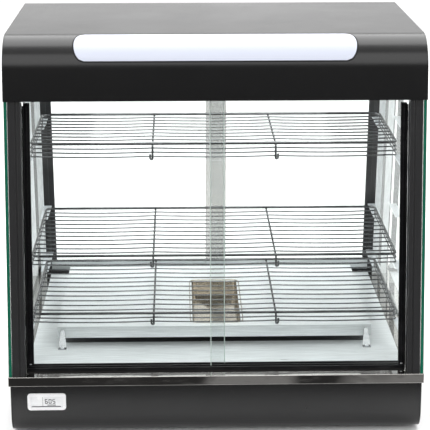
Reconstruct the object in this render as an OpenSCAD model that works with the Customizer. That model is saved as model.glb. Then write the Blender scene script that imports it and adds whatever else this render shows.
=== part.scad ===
// Countertop hot food display case: a glass cabinet with leaning front and rear
// faces, four sliding doors, three wire shelves, a heated well and a lit hood.
// Millimetres. The origin is on the table under the middle of the case, the
// customer side faces -Y and +Z is up.

/* [Case] */
// Width over the hood and the steel trim
case_w = 660; // [620:10:700]
// Depth over the steel trim
case_d = 564; // [550:2:580]
// Height to the top of the hood
case_h = 633; // [620:1:650]
// Height of the steel deck that the posts stand on
deck_z = 104; // [100:1:108]
// Height of the steel trim band
trim_h = 15.5; // [12:0.5:18]
// Set-back of the front and rear faces for each millimetre of height
lean = 0.134; // [0.12:0.002:0.14]

/* [Hood] */
// Height of the hood's lower edge
hood_z = 536.5; // [530:0.5:540]
// Radius of the bend over the front and rear edges
bend_r = 55; // [45:1:60]
// Thickness of the hood sheet
hood_t = 2; // [1.5:0.5:3]
// Half of the length of the lit sign window
sign_half = 220; // [180:5:240]

/* [Glazing] */
// Thickness of the side glass
side_glass_t = 5; // [4:0.5:5]
// Thickness of a door's glass
door_glass_t = 4; // [3:0.5:4.5]
// How far each front door runs past their seam
front_lap = 11.5; // [8:0.5:16]
// How far right of the middle the front doors meet
front_seam = 2.5; // [-10:0.5:10]
// How far each rear door runs past their seam
rear_lap = 19; // [12:1:24]
// How far right of the middle the rear doors meet
rear_seam = 11; // [-12:1:12]

/* [Shelves] */
// Half of a shelf's width
shelf_half = 302; // [290:1:304]
// Pitch of the cross wires
wire_pitch = 23.7; // [20:0.1:26]
// Diameter of the cross wires
wire_d = 2.4; // [2:0.2:3]
// Diameter of the rim and of the two bearer wires
rim_d = 4.4; // [3.6:0.2:5]
// Heights of the top, middle and lower shelf
shelf_z = [442, 261, 166];
// Front edge of each shelf
shelf_front = [-114, -148, -162];
// Rear edge of each shelf
shelf_rear = [114, 140, 126];
// Number of cross wires in each shelf
shelf_wires = [9, 11, 11];
// Number of fence wires under each shelf's rim
fence_wires = [3, 2, 2];

/* [Base] */
// Height of the base panels' lower edge above the table
base_z = 4; // [3:0.5:6]
// Radius of the roll under the front and rear panels
roll_r = 34; // [26:1:38]
// Thickness of the base panels
base_t = 2; // [1.5:0.5:2.5]
// Height of the controls and of the cord's outlet
control_z = 60; // [56:1:64]

/* [Hidden] */
$fn = 48;

black = "#26282a";
steel = "#c9ced0";
clear = "#a9c9bd";

half_w = case_w / 2;
half_d = case_d / 2;
trim_z = deck_z - trim_h;
lean_angle = atan(lean);

// Front and rear bends of the hood
bend_z = case_h - bend_r;
tangent_z = bend_z + bend_r * sin(lean_angle);
bend_y = -half_d + lean * (tangent_z - deck_z) + bend_r * cos(lean_angle);
bend_steps = 14;
sign_start = 10.9;
sign_end = 68.8;

// Depth of the parts behind the leaning face, measured level
post_front = 4;
post_back = 24;
track_front = 26;
track_back = 47;
outer_door = 30;
inner_door = 39;
pilaster_front = 48;
pilaster_back = 59;

// Distances from the middle plane
glass_x = half_w - 6;
post_x = glass_x - 0.4;
post_inner = 303;
stile_inner = 292.5;
door_edge = 302;
front_left_lap = front_lap + front_seam;
front_right_lap = front_lap - front_seam;
rear_left_lap = rear_lap + rear_seam;
rear_right_lap = rear_lap - rear_seam;
pilaster_inner = 311;
pilaster_outer = 320.5;
stile_top = 526;
glass_top = 545;
glass_bottom = 105.6;
track_top = 549.5;
track_low = 108.7;

// Heated well
baffle_half = 262;
baffle_front = -142;
baffle_rear = 176;
baffle_z = 136.6;
baffle_lip = 20;
// From the baffle's front edge to the screws in its toes
toe_reach = 17.6;
pan_x = 4;
pan_y = -18;
pan_half_x = 39;
pan_half_y = 104;
pan_deep = 28;
sheet = 1.5;
element_z = 119;
element_d = 8;

// Base panels
panel_half = half_w - 3;
panel_y = half_d - 3;
rear_y = half_d - 18;
roll_z = base_z + roll_r;
roll_steps = 10;

// Controls on the rear panel
knob_x = 150;
power_x = 215;
light_x = 255;
pilot_x = 100;
cord_x = -230;

// The lead's route from the end of the strain relief to the plug, lying on the
// table behind the case
cord_d = 7;
relief_len = 36;
route = [
    [-230, 300, 60], [-230, 322, 60], [-229, 345, 55], [-226, 368, 43], [-220, 392, 27],
    [-211, 418, 12], [-197, 446, 4.4], [-176, 472, 3.7], [-149, 493, 3.7],
    [-118, 508, 3.7], [-84, 518, 3.7], [-48, 525, 3.7], [-11, 531, 3.7],
    [26, 538, 3.7], [63, 545, 3.7], [101, 552, 3.7], [140, 557, 3.7],
    [178, 559, 3.7], [213, 556, 3.7], [245, 545, 3.7], [267, 521, 3.7],
    [273, 490, 3.7], [261, 460, 3.7], [236, 440, 3.7], [203, 430, 3.7],
    [168, 427, 3.7], [132, 428, 3.7], [95, 431, 3.7], [58, 435, 3.7],
    [22, 437, 3.7], [-12, 436, 4.6],
    [-43, 432, 8.6], [-70, 426, 12.2], [-90, 421, 12.6]
];
route_cuts = 2;
tube_sides = 10;
plug_at = route[len(route) - 1];
plug_turn = 194;

// Level position of the leaning front face at a height
function face_y(z) = -half_d + lean * (z - deck_z);

// Points round the front bend, where angle 0 is its top
function bend_arc(r, from, to, steps) = [
    for (i = [0 : steps])
        let (a = from + (to - from) * i / steps)
        [bend_y - r * sin(a), bend_z + r * cos(a)]
];

// Front half of the hood's side section, from its lower edge up, moved inwards by t
function hood_half(t) = concat(
    [[face_y(hood_z) + t / cos(lean_angle), hood_z]],
    bend_arc(bend_r - t, 90 - lean_angle, 0, bend_steps)
);

function flip(points) = [for (i = [len(points) - 1 : -1 : 0]) [-points[i][0], points[i][1]]];

function hood_outline(t) = concat(hood_half(t), flip(hood_half(t)));

// Outline of the roll under a base panel, moved inwards by t
function base_half(t) = concat(
    [[-panel_y + t, deck_z - sheet]],
    [for (i = [0 : roll_steps])
        let (a = 90 * i / roll_steps)
        [-panel_y + roll_r - (roll_r - t) * cos(a), roll_z - (roll_r - t) * sin(a)]]
);

// Extrudes a side section, given as [y, z] points, from x0 to x1
module section(x0, x1, points) {
    translate([x0, 0, 0])
        rotate([90, 0, 90])
            linear_extrude(x1 - x0)
                polygon(points);
}

// A bar that leans with the front face, from depth d0 to depth d1 behind it
module leaning_bar(x0, x1, d0, d1, z0, z1) {
    section(x0, x1, [
        [face_y(z0) + d0, z0], [face_y(z0) + d1, z0],
        [face_y(z1) + d1, z1], [face_y(z1) + d0, z1]
    ]);
}

// Puts a front part on the rear, and a right-hand part on the left
module place(left, rear) {
    mirror([left ? 1 : 0, 0, 0])
        mirror([0, rear ? 1 : 0, 0])
            children();
}

// A block given by its lowest and highest corners
module block(low, high) {
    translate(low)
        cube(high - low);
}

module base_front() {
    inner = base_half(base_t);
    color(black)
        section(-panel_half + base_t, panel_half - base_t, concat(
            base_half(0), [for (i = [len(inner) - 1 : -1 : 0]) inner[i]]
        ));
}

module base_rear() {
    color(black)
        difference() {
            block([-panel_half + base_t, rear_y - base_t, base_z],
                [panel_half - base_t, rear_y, deck_z - sheet]);
            for (x = [knob_x, pilot_x])
                translate([x, rear_y - 8, control_z])
                    rotate([-90, 0, 0])
                        cylinder(d = 8, h = 16);
            for (x = [power_x, light_x])
                block([x - 10.5, rear_y - 8, control_z - 7.2], [x + 10.5, rear_y + 8, control_z + 7.2]);
            translate([cord_x, rear_y - 8, control_z])
                rotate([-90, 0, 0])
                    cylinder(d = 14, h = 16);
        }
}

module base_side() {
    color(black)
        section(panel_half - base_t, panel_half, concat(base_half(0), flip(base_half(0))));
}

module base_bottom() {
    color(steel)
        difference() {
            block([-panel_half + base_t, -panel_y + roll_r, base_z],
                [panel_half - base_t, rear_y - base_t, base_z + sheet]);
            for (x = [-1, 1])
                for (y = [-1, 1])
                    translate([x * 270, y * 200, base_z - 1])
                        cylinder(d = 6.4, h = 5);
        }
}

module deck_frame() {
    color(steel)
        difference() {
            block([-half_w, -half_d, trim_z], [half_w, half_d, deck_z]);
            block([-post_inner, -half_d + track_back + 4, trim_z - 1],
                [post_inner, half_d - track_back - 4, deck_z + 1]);
            block([-half_w + sheet, -half_d + sheet, trim_z - 1],
                [half_w - sheet, half_d - sheet, deck_z - sheet]);
        }
}

module floor_pan() {
    color("#dfe4e6")
        block([-post_inner + 0.3, -half_d + track_back + 4.3, deck_z - sheet],
            [post_inner - 0.3, half_d - track_back - 4.3, deck_z]);
}

module baffle_plate() {
    color("#dfe4e6")
        difference() {
            block([-baffle_half, baffle_front, baffle_z - baffle_lip], [baffle_half, baffle_rear, baffle_z]);
            block([-baffle_half - 1, baffle_front + sheet, baffle_z - baffle_lip - 1],
                [baffle_half + 1, baffle_rear - sheet, baffle_z - sheet]);
            block([pan_x - pan_half_x - 1.5, pan_y - pan_half_y - 1.5, baffle_z - 5],
                [pan_x + pan_half_x + 1.5, pan_y + pan_half_y + 1.5, baffle_z + 1]);
        }
}

// A tapered leg that carries one corner of the baffle, with a toe screwed down
module baffle_foot() {
    top_z = baffle_z - sheet;
    toe_z = deck_z + sheet;
    intersection() {
        section(baffle_half - 20, baffle_half, [
            [baffle_front - 14, toe_z], [baffle_front - 12, toe_z],
            [baffle_front - 0.2, top_z - 4], [baffle_front - 2.2, top_z - 4]
        ]);
        translate([baffle_half - 9, baffle_front + 1, 0])
            rotate([90, 0, 0])
                linear_extrude(20)
                    polygon([[-7, deck_z], [7, deck_z], [2, baffle_z], [-2, baffle_z]]);
    }
    difference() {
        block([baffle_half - 16, baffle_front - toe_reach - 4.4, deck_z],
            [baffle_half - 2, baffle_front - 12, toe_z]);
        translate([baffle_half - 9, baffle_front - toe_reach, deck_z - 1])
            cylinder(d = 3.4, h = 4);
    }
}

module baffle_feet() {
    color(steel)
        for (left = [false, true]) {
            place(left, false) baffle_foot();
            translate([0, baffle_front + baffle_rear, 0])
                place(left, true) baffle_foot();
        }
}

// Pan-head screw standing on z = 0
module pan_screw(d) {
    cylinder(d = d * 2, h = d * 0.5);
}

module screws() {
    toe = [baffle_half - 9, baffle_front - toe_reach];
    rear_toe = baffle_rear + baffle_front - toe[1];
    color(steel) {
        for (x = [-toe[0], toe[0]])
            for (y = [toe[1], rear_toe])
                translate([x, y, deck_z + sheet]) {
                    pan_screw(3.2);
                    translate([0, 0, -sheet]) cylinder(d = 3.2, h = sheet);
                }
        for (x = [-300, -60, 60, 300])
            translate([x, rear_y, 82])
                rotate([-90, 0, 0])
                    pan_screw(4);
    }
}

module water_pan() {
    rim_z = baffle_z + 0.3;
    color(steel)
        difference() {
            union() {
                block([pan_x - pan_half_x, pan_y - pan_half_y, rim_z - pan_deep],
                    [pan_x + pan_half_x, pan_y + pan_half_y, rim_z + sheet]);
                block([pan_x - pan_half_x - 6, pan_y - pan_half_y - 6, rim_z],
                    [pan_x + pan_half_x + 6, pan_y + pan_half_y + 6, rim_z + sheet]);
            }
            block([pan_x - pan_half_x + sheet, pan_y - pan_half_y + sheet, rim_z - pan_deep + sheet],
                [pan_x + pan_half_x - sheet, pan_y + pan_half_y - sheet, rim_z + sheet + 1]);
        }
}

// Tubular heater bent into a U, lying beside the pan
module heater(x0, x1) {
    bend = 45;
    turn = x1 > x0 ? -90 : 90;
    for (y = [-bend, bend])
        translate([min(x0, x1), y, element_z])
            rotate([0, 90, 0])
                cylinder(d = element_d, h = abs(x1 - x0));
    translate([x1, 0, element_z])
        rotate([0, 0, turn])
            rotate_extrude(angle = 180)
                translate([bend, 0])
                    circle(d = element_d);
}

module heating_elements() {
    color("#6d6a66") {
        heater(62, 190);
        heater(-54, -190);
    }
}

module element_clips() {
    color(steel)
        for (x = [80, 170, -80, -170])
            for (y = [-45, 45])
                difference() {
                    block([x - 4, y - 8, deck_z], [x + 4, y + 8, element_z + 7]);
                    translate([x - 5, y, element_z])
                        rotate([0, 90, 0])
                            cylinder(d = element_d + 0.2, h = 10);
                }
}

// Black extrusion with a groove down its inner half
module post() {
    color(black)
        difference() {
            leaning_bar(post_inner, post_x, post_front, post_back, deck_z, track_top);
            leaning_bar(post_inner + 6.5, post_inner + 9.5, post_front - 1, post_front + 2,
                deck_z - 1, track_top + 1);
        }
}

// Slotted channel that carries the shelf clips
module pilaster() {
    t = 1.2;
    slot_h = 5;
    slots = 40;
    slot_pitch = 10;
    color(steel) {
        translate([pilaster_inner, 0, 0])
            rotate([90, 0, 90])
                linear_extrude(t)
                    difference() {
                        polygon([
                            [face_y(deck_z) + pilaster_front, deck_z],
                            [face_y(deck_z) + pilaster_back, deck_z],
                            [face_y(hood_z) + pilaster_back, hood_z],
                            [face_y(hood_z) + pilaster_front, hood_z]
                        ]);
                        for (i = [0 : slots - 1])
                            let (z = deck_z + 24 + i * slot_pitch)
                            translate([face_y(z) + pilaster_front + 4, z])
                                square([3, slot_h]);
                    }
        leaning_bar(pilaster_inner, pilaster_outer, pilaster_front, pilaster_front + t, deck_z, hood_z);
        leaning_bar(pilaster_inner, pilaster_outer, pilaster_back - t, pilaster_back, deck_z, hood_z);
    }
}

module side_glass() {
    low = face_y(deck_z) + 3;
    high = face_y(hood_z) + 3;
    top = hood_z - 0.2;
    color(clear, 0.4)
        section(glass_x, glass_x + side_glass_t, [[low, deck_z], [-low, deck_z], [-high, top], [high, top]]);
}

module hood_cover() {
    inner = hood_outline(hood_t);
    color(black)
        difference() {
            section(-half_w + hood_t, half_w - hood_t, concat(
                hood_outline(0), [for (i = [len(inner) - 1 : -1 : 0]) inner[i]]
            ));
            section(-sign_half, sign_half, concat(
                [[bend_y, bend_z]], bend_arc(bend_r + 4, sign_start, sign_end, 8)
            ));
        }
}

module hood_end() {
    color(black)
        section(half_w - hood_t, half_w, hood_outline(0));
}

module hood_ceiling() {
    edge = face_y(track_top) + post_front;
    color(steel)
        block([-half_w + hood_t + 0.4, edge, track_top], [half_w - hood_t - 0.4, -edge, track_top + sheet]);
}

module sign_diffuser() {
    gap = 0.3;
    inner = bend_arc(bend_r - hood_t, sign_start + gap, sign_end - gap, 10);
    color("white")
        section(-sign_half + gap, sign_half - gap, concat(
            bend_arc(bend_r, sign_start + gap, sign_end - gap, 10),
            [for (i = [len(inner) - 1 : -1 : 0]) inner[i]]
        ));
}

module lamp_tube() {
    color("white")
        translate([-210, bend_y, bend_z + 8])
            rotate([0, 90, 0])
                cylinder(d = 16, h = 420);
}

module lamp_holders() {
    color("white")
        for (side = [-1, 1])
            translate([side * 217, 0, 0])
                block([-7, bend_y - 10, track_top + sheet], [7, bend_y + 10, bend_z + 18]);
}

// Twin-groove track; grooves open downwards at the top and upwards at the bottom
module track(z0, z1, g0, g1) {
    color(black)
        difference() {
            leaning_bar(-post_inner + 0.3, post_inner - 0.3, track_front, track_back, z0, z1);
            for (d = [outer_door, inner_door])
                leaning_bar(-half_w, half_w, d - 1, d + door_glass_t + 1, g0, g1);
        }
}

module top_track() {
    track(hood_z, track_top, hood_z - 1, glass_top + 2);
}

module bottom_track() {
    track(deck_z, track_low, deck_z + 0.8, track_low + 1);
}

// Door glass on the right-hand side, running past the middle by lap
module door_glass(lap, d) {
    color(clear, 0.4)
        leaning_bar(-lap, door_edge - 2, d, d + door_glass_t, glass_bottom, glass_top);
}

// Black stile down a door's outer edge
module door_stile(d) {
    color(black)
        difference() {
            leaning_bar(stile_inner, door_edge, d - 1.5, d + door_glass_t + 1.5, track_low + 1, stile_top);
            leaning_bar(stile_inner - 1, door_edge - 2, d, d + door_glass_t, track_low, stile_top + 1);
        }
}

// Rear stile with an aluminium channel along the foot of the door
module rear_stile(lap, d) {
    channel_top = track_low + 18;
    color(steel)
        difference() {
            union() {
                leaning_bar(stile_inner, door_edge, d - 1.5, d + door_glass_t + 1.5,
                    track_low + 1, stile_top);
                leaning_bar(-lap + 1, door_edge - 0.6, d - 1.8, d + door_glass_t + 1.8,
                    track_low + 0.7, channel_top);
            }
            leaning_bar(-lap, door_edge - 2, d, d + door_glass_t, track_low, stile_top + 1);
        }
}

// Round wire between two points along one axis
module wire(a, b, d) {
    v = b - a;
    turn = v[0] != 0 ? [0, 90, 0] : (v[1] != 0 ? [-90, 0, 0] : [0, 0, 0]);
    translate(a)
        rotate(turn)
            cylinder(d = d, h = norm(v), $fn = 16);
}

// Wire shelf: rim, cross wires on two bearers with hooked ends, and a fence
// of thinner wires under the rim
module shelf(i) {
    z = shelf_z[i];
    front = shelf_front[i];
    rear = shelf_rear[i];
    side = shelf_half - rim_d / 2;
    f = front + rim_d / 2;
    r = rear - rim_d / 2;
    fence_pitch = 7;
    low = z - fence_pitch * fence_wires[i];
    bearer_d = rim_d - 0.4;
    thin_d = wire_d - 0.2;
    color(steel) {
        for (y = [f, r])
            wire([-shelf_half, y, z], [shelf_half, y, z], rim_d);
        for (s = [-1, 1]) {
            wire([s * side, f, z], [s * side, r, z], bearer_d);
            wire([s * 101, f, z - 2.6], [s * 101, r, z - 2.6], bearer_d);
            wire([s * 101, f - 1, low - 7], [s * 101, f - 1, z - 1], rim_d - 0.7);
            for (y = [f + 6, r - 6])
                wire([s * side, y, low], [s * side, y, z], thin_d - 0.3);
        }
        for (k = [0 : shelf_wires[i] - 1])
            let (y = rear - 30 - wire_pitch * k)
            wire([-side, y, z], [side, y, z], wire_d);
        for (k = [1 : fence_wires[i]]) {
            wire([-side - 1.4, f, z - fence_pitch * k], [side + 1.4, f, z - fence_pitch * k], wire_d);
            for (s = [-1, 1])
                wire([s * side, f, z - fence_pitch * k], [s * side, r, z - fence_pitch * k], thin_d);
        }
    }
}

// Four bracket arms hooked into the pilasters' slots, under a shelf's corners
module clips(i) {
    top = shelf_z[i] - 7 * fence_wires[i] - wire_d / 2 - 0.3;
    color(steel)
        for (left = [false, true])
            for (rear = [false, true])
                let (reach = rear ? shelf_rear[i] - 14 : -shelf_front[i] - 14)
                place(left, rear)
                    block([pilaster_inner - 14, face_y(top) + pilaster_front + 2, top - 2],
                        [pilaster_inner, -reach, top]);
}

module thermometer_bezel() {
    y = -panel_y;
    color("white")
        difference() {
            translate([-270, y, 62])
                rotate([90, 0, 0])
                    linear_extrude(3)
                        difference() {
                            union() {
                                square([55, 28], center = true);
                                square([61, 22], center = true);
                                for (a = [-1, 1])
                                    for (b = [-1, 1])
                                        translate([a * 27.5, b * 11]) circle(r = 3);
                            }
                            square([50, 17], center = true);
                        }
        }
}

module thermometer_display() {
    color("#cfd6d2")
        block([-270 - 24.8, -panel_y - 1.6, 62 - 8.3], [-270 + 24.8, -panel_y, 62 + 8.3]);
}

module thermostat() {
    color("#d8d4c8")
        translate([knob_x, rear_y - base_t - 22, control_z])
            rotate([-90, 0, 0])
                difference() {
                    cylinder(d = 34, h = 20);
                    translate([0, 0, 9]) cylinder(d = 6.1, h = 12);
                }
}

module thermostat_knob() {
    color(black)
        translate([knob_x, rear_y, control_z])
            rotate([-90, 0, 0])
                difference() {
                    union() {
                        translate([0, 0, 0.5]) cylinder(d = 36, h = 3.5);
                        translate([0, 0, 3]) cylinder(d = 28, h = 14);
                        translate([0, 0, -12]) cylinder(d = 6, h = 14);
                    }
                    translate([-1, 6, 16]) cube([2, 8, 2]);
                }
}

module rocker(x) {
    color("#8c1d18") {
        block([x - 10, rear_y - 6, control_z - 6], [x + 10, rear_y + 5, control_z + 6]);
        translate([x - 10.4, rear_y, control_z])
            rotate([0, 90, 0])
                cylinder(d = 3, h = 20.8);
    }
}

module power_switch() {
    rocker(power_x);
}

module light_switch() {
    rocker(light_x);
}

module switch_bezels() {
    color(black)
        for (x = [power_x, light_x])
            difference() {
                block([x - 14, rear_y, control_z - 10.5], [x + 14, rear_y + 2.5, control_z + 10.5]);
                block([x - 10.5, rear_y - 1, control_z - 7.2], [x + 10.5, rear_y + 4, control_z + 7.2]);
            }
}

module pilot_lamp() {
    color("orange")
        translate([pilot_x, rear_y, control_z])
            rotate([-90, 0, 0]) {
                cylinder(d = 12, h = 2);
                cylinder(d = 9, h = 6);
                translate([0, 0, -6]) cylinder(d = 7.8, h = 7);
            }
}

module strain_relief() {
    profile = [
        [0, -6], [6.8, -6], [6.8, 0], [9, 0], [9, 4], [6.4, 6],
        [4.6, relief_len], [0, relief_len]
    ];
    color("#1d1d1f")
        translate([cord_x, rear_y, control_z])
            rotate([-90, 0, 0])
                rotate_extrude()
                    polygon(profile);
}

// Smooth curve through the route's points, cut into route_cuts steps a span
function spline(a, b, c, d, t) = 0.5 * (
    2 * b + (c - a) * t + (2 * a - 5 * b + 4 * c - d) * t * t + (3 * b - a - 3 * c + d) * t * t * t
);

function point_at(i) = route[max(0, min(len(route) - 1, i))];

route_fine = [
    for (i = [0 : len(route) - 2])
        for (k = [0 : route_cuts - 1])
            spline(point_at(i - 1), point_at(i), point_at(i + 1), point_at(i + 2), k / route_cuts),
    plug_at
];

function heading(p, i) = let (
    v = p[min(i + 1, len(p) - 1)] - p[max(i - 1, 0)]
) v / norm(v);

// One ring of a tube, square to the path
function ring(c, v, r, sides) = let (
    across = cross(v, [0, 0, 1]) / norm(cross(v, [0, 0, 1])),
    up = cross(across, v)
) [for (k = [0 : sides - 1]) c + r * (cos(360 * k / sides) * across + sin(360 * k / sides) * up)];

module tube(p, r, sides) {
    n = len(p);
    rings = [for (i = [0 : n - 1]) each ring(p[i], heading(p, i), r, sides)];
    walls = [
        for (i = [0 : n - 2])
            for (k = [0 : sides - 1])
                [i * sides + k, i * sides + (k + 1) % sides, (i + 1) * sides + (k + 1) % sides,
                    (i + 1) * sides + k]
    ];
    first = [for (k = [sides - 1 : -1 : 0]) k];
    last = [for (k = [0 : sides - 1]) (n - 1) * sides + k];
    polyhedron(rings, concat(walls, [first, last]));
}

module power_cord() {
    color("#1d1d1f") tube(route_fine, cord_d / 2, tube_sides);
}

// Moulded two-pin-and-earth plug lying on its side at the end of the lead
module plug() {
    color("#1d1d1f")
        translate(plug_at)
            rotate([0, 90, plug_turn])
                rotate_extrude()
                    polygon([[0, 0], [4.6, 0], [5.6, 14], [12.4, 20], [12.4, 40], [0, 40]]);
    color(steel)
        translate(plug_at)
            rotate([0, 0, plug_turn]) {
                for (y = [-6.3, 6.3])
                    block([40, y - 0.8, -6], [57, y + 0.8, 0.4]);
                translate([40, 0, 6])
                    rotate([0, 90, 0])
                        cylinder(d = 4.6, h = 19);
            }
}

module rubber_feet() {
    color("#1a1a1a")
        for (x = [-1, 1])
            for (y = [-1, 1])
                translate([x * 270, y * 200, 0]) {
                    cylinder(d = 28, h = base_z);
                    cylinder(d = 6, h = base_z + sheet + 2);
                }
}

base_front();
base_rear();
place(true, false) base_side();  // base_side_left
base_side();  // base_side_right
base_bottom();
deck_frame();
floor_pan();
baffle_plate();
baffle_feet();
screws();
water_pan();
heating_elements();
element_clips();
place(true, false) post();  // front_post_left
post();  // front_post_right
place(true, true) post();  // rear_post_left
place(false, true) post();  // rear_post_right
place(true, false) pilaster();  // front_pilaster_left
pilaster();  // front_pilaster_right
place(true, true) pilaster();  // rear_pilaster_left
place(false, true) pilaster();  // rear_pilaster_right
place(true, false) side_glass();  // side_glass_left
side_glass();  // side_glass_right
hood_cover();
place(true, false) hood_end();  // hood_end_left
hood_end();  // hood_end_right
hood_ceiling();
sign_diffuser();
lamp_tube();
lamp_holders();
top_track();  // front_top_track
place(false, true) top_track();  // rear_top_track
bottom_track();  // front_bottom_track
place(false, true) bottom_track();  // rear_bottom_track
place(true, false) door_glass(front_left_lap, inner_door);  // front_glass_left
door_glass(front_right_lap, outer_door);  // front_glass_right
place(true, true) door_glass(rear_left_lap, outer_door);  // rear_glass_left
place(false, true) door_glass(rear_right_lap, inner_door);  // rear_glass_right
place(true, false) door_stile(inner_door);  // front_stile_left
door_stile(outer_door);  // front_stile_right
place(true, true) rear_stile(rear_left_lap, outer_door);  // rear_stile_left
place(false, true) rear_stile(rear_right_lap, inner_door);  // rear_stile_right
shelf(0);  // shelf_top
shelf(1);  // shelf_middle
shelf(2);  // shelf_lower
clips(0);  // clips_top
clips(1);  // clips_middle
clips(2);  // clips_lower
thermometer_bezel();
thermometer_display();
thermostat();
thermostat_knob();
power_switch();
light_switch();
switch_bezels();
pilot_lamp();
strain_relief();
power_cord();
plug();
rubber_feet();
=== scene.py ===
"""Looks of the countertop hot food display case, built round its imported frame."""

import math

import bmesh
import bpy
from mathutils import Matrix, Vector


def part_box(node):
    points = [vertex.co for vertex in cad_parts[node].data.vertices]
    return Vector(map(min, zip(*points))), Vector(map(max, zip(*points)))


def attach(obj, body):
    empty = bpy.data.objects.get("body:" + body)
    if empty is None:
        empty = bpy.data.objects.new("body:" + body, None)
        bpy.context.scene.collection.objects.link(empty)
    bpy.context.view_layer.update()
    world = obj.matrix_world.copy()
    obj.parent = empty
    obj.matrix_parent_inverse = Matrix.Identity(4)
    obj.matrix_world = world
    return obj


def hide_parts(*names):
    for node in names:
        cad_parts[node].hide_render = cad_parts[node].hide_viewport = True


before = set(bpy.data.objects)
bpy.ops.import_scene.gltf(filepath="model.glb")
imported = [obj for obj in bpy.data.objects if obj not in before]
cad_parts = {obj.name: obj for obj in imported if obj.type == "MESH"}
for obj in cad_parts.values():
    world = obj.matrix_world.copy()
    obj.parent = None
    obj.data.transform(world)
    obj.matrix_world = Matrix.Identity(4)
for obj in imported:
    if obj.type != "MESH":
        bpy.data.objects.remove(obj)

MM = 0.001
QUARTER = math.radians(90)
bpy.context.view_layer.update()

# Section of the case, in metres, read from the frame
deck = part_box("deck_frame")
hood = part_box("hood_cover")
HALF_W = deck[1].x
HALF_D = deck[1].y
DECK_Z = deck[1].z
HOOD_Z = hood[0].z
TOP_Z = hood[1].z
LEAN = 0.134
LEAN_ANGLE = math.atan(LEAN)
BEND_R = 55 * MM
BEND_Z = TOP_Z - BEND_R
TANGENT_Z = BEND_Z + BEND_R * math.sin(LEAN_ANGLE)


def face_y(z):
    """Level position of the leaning front face at a height."""
    return -HALF_D + LEAN * (z - DECK_Z)


BEND_Y = face_y(TANGENT_Z) + BEND_R * math.cos(LEAN_ANGLE)


# ---------------------------------------------------------------- camera

def make_camera():
    data = bpy.data.cameras.new("camera")
    data.sensor_width = 36
    data.lens = 126.25
    data.shift_y = -0.1047
    data.clip_end = 50
    eye = bpy.data.objects.new("camera", data)
    eye.location = (-0.0579, -2.5116, 1.0205)
    look_down = math.radians(14.562)
    look_right = math.radians(1.414)
    eye.rotation_euler = (QUARTER - look_down, 0, -look_right)
    bpy.context.scene.collection.objects.link(eye)
    bpy.context.scene.camera = eye


make_camera()


# ---------------------------------------------------------------- shader tools

class Signal:
    """A shader socket that adds Math nodes when it is calculated with."""

    def __init__(self, finish, socket):
        self.finish = finish
        self.socket = socket

    def maths(self, operation, first, second):
        return self.finish.node("ShaderNodeMath", {"operation": operation}, {0: first, 1: second})

    def __add__(self, other):
        return self.maths("ADD", self, other)

    def __radd__(self, other):
        return self.maths("ADD", other, self)

    def __sub__(self, other):
        return self.maths("SUBTRACT", self, other)

    def __rsub__(self, other):
        return self.maths("SUBTRACT", other, self)

    def __mul__(self, other):
        return self.maths("MULTIPLY", self, other)

    def __rmul__(self, other):
        return self.maths("MULTIPLY", other, self)

    def __gt__(self, other):
        return self.maths("GREATER_THAN", self, other)

    def __lt__(self, other):
        return self.maths("LESS_THAN", self, other)

    def __abs__(self):
        return self.finish.node("ShaderNodeMath", {"operation": "ABSOLUTE"}, {0: self})


class Finish:
    """One material, or the world, built node by node."""

    def __init__(self, name, world=None):
        self.owner = world or bpy.data.materials.new(name)
        self.owner.use_nodes = True
        self.tree = self.owner.node_tree
        self.tree.nodes.clear()

    def node(self, kind, settings=None, sockets=None, out=0):
        made = self.tree.nodes.new(kind)
        for key, value in (settings or {}).items():
            if key == "stops":
                ends = made.color_ramp.elements
                ends[0].position, ends[0].color = value[0]
                ends[1].position, ends[1].color = value[-1]
                for position, colour in value[1:-1]:
                    ends.new(position).color = colour
            else:
                setattr(made, key, value)
        for key, value in (sockets or {}).items():
            if isinstance(value, Signal):
                self.tree.links.new(value.socket, made.inputs[key])
            else:
                made.inputs[key].default_value = value
        return None if out is None else Signal(self, made.outputs[out])

    def place(self, stretch=(1, 1, 1)):
        """Object coordinates, stretched along each axis."""
        where = self.node("ShaderNodeTexCoord", out="Object")
        return self.node("ShaderNodeMapping", {}, {"Vector": where, "Scale": stretch})

    def noise(self, scale, detail=3, stretch=(1, 1, 1), rough=0.55):
        return self.node("ShaderNodeTexNoise", {}, {
            "Vector": self.place(stretch), "Scale": scale, "Detail": detail, "Roughness": rough,
        })

    def spread(self, signal, low, high, to_low=0.0, to_high=1.0):
        """Maps a signal from one range to another, held at the ends."""
        return self.node("ShaderNodeMapRange", {}, {
            "Value": signal, "From Min": low, "From Max": high, "To Min": to_low, "To Max": to_high,
        })

    def blend(self, share, first, second):
        """A colour between two colours."""
        return self.node("ShaderNodeMix", {"data_type": "RGBA"}, {0: share, 6: first, 7: second}, out=2)

    def bump(self, height, distance, strength=1.0):
        return self.node("ShaderNodeBump", {}, {
            "Height": height, "Distance": distance, "Strength": strength,
        })

    def principled(self, **sockets):
        named = {key.replace("_", " "): value for key, value in sockets.items()}
        return self.node("ShaderNodeBsdfPrincipled", {}, named)

    def done(self, shader, output="ShaderNodeOutputMaterial"):
        self.node(output, {}, {"Surface": shader}, out=None)
        return self.owner


def rgb(red, green, blue):
    return (red, green, blue, 1.0)


# ---------------------------------------------------------------- materials

def powder_coat(name, shade, rough):
    """Satin black powder coat: a fine stipple, faint dust and rubbed patches."""
    f = Finish(name)
    stipple = f.noise(1500, 2)
    patches = f.noise(9, 4)
    dust = f.spread(f.noise(60, 6, rough=0.7), 0.56, 0.78)
    dusty = rgb(*[shade * 2.4] * 3)
    colour = f.blend(dust * 0.35, rgb(shade, shade, shade * 1.04), dusty)
    return f.done(f.principled(
        Base_Color=colour,
        Roughness=rough + f.spread(patches, 0.3, 0.7, -0.02, 0.02) + dust * 0.04,
        Normal=f.bump(stipple, 0.00003, 0.3),
    ))


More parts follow.
